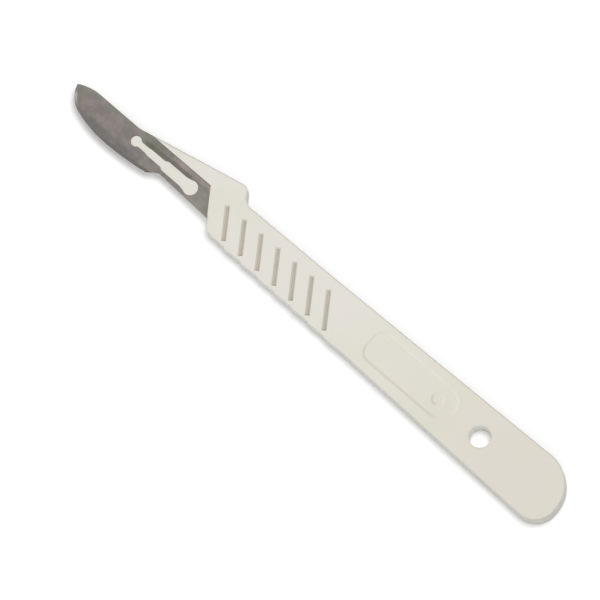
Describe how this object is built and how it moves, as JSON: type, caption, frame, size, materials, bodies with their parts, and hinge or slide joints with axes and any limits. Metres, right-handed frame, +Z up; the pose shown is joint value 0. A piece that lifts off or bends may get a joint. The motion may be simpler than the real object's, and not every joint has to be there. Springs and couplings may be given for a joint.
{
  "type": "disposable scalpel",
  "caption": "Slim moulded handle with slanted grip grooves, a thumb pad and a hanging hole, holding a round-bellied steel blade for fine cutting by hand.",
  "frame": {"origin": "on the resting face, under the middle of the overall box", "axes": "+X along the scalpel from the blade's point to the handle's butt, +Y across it towards the blade's back, +Z up out of the face that carries the blade"},
  "size_m": [0.1348, 0.0144, 0.0046],
  "materials": {
    "blade_steel": "satin rolled steel, ground bright along the edge",
    "handle_plastic": "satin ivory moulding"
  },
  "bodies": {
    "root": {"blade": "blade_steel", "handle": "handle_plastic"}
  },
  "joints": []
}
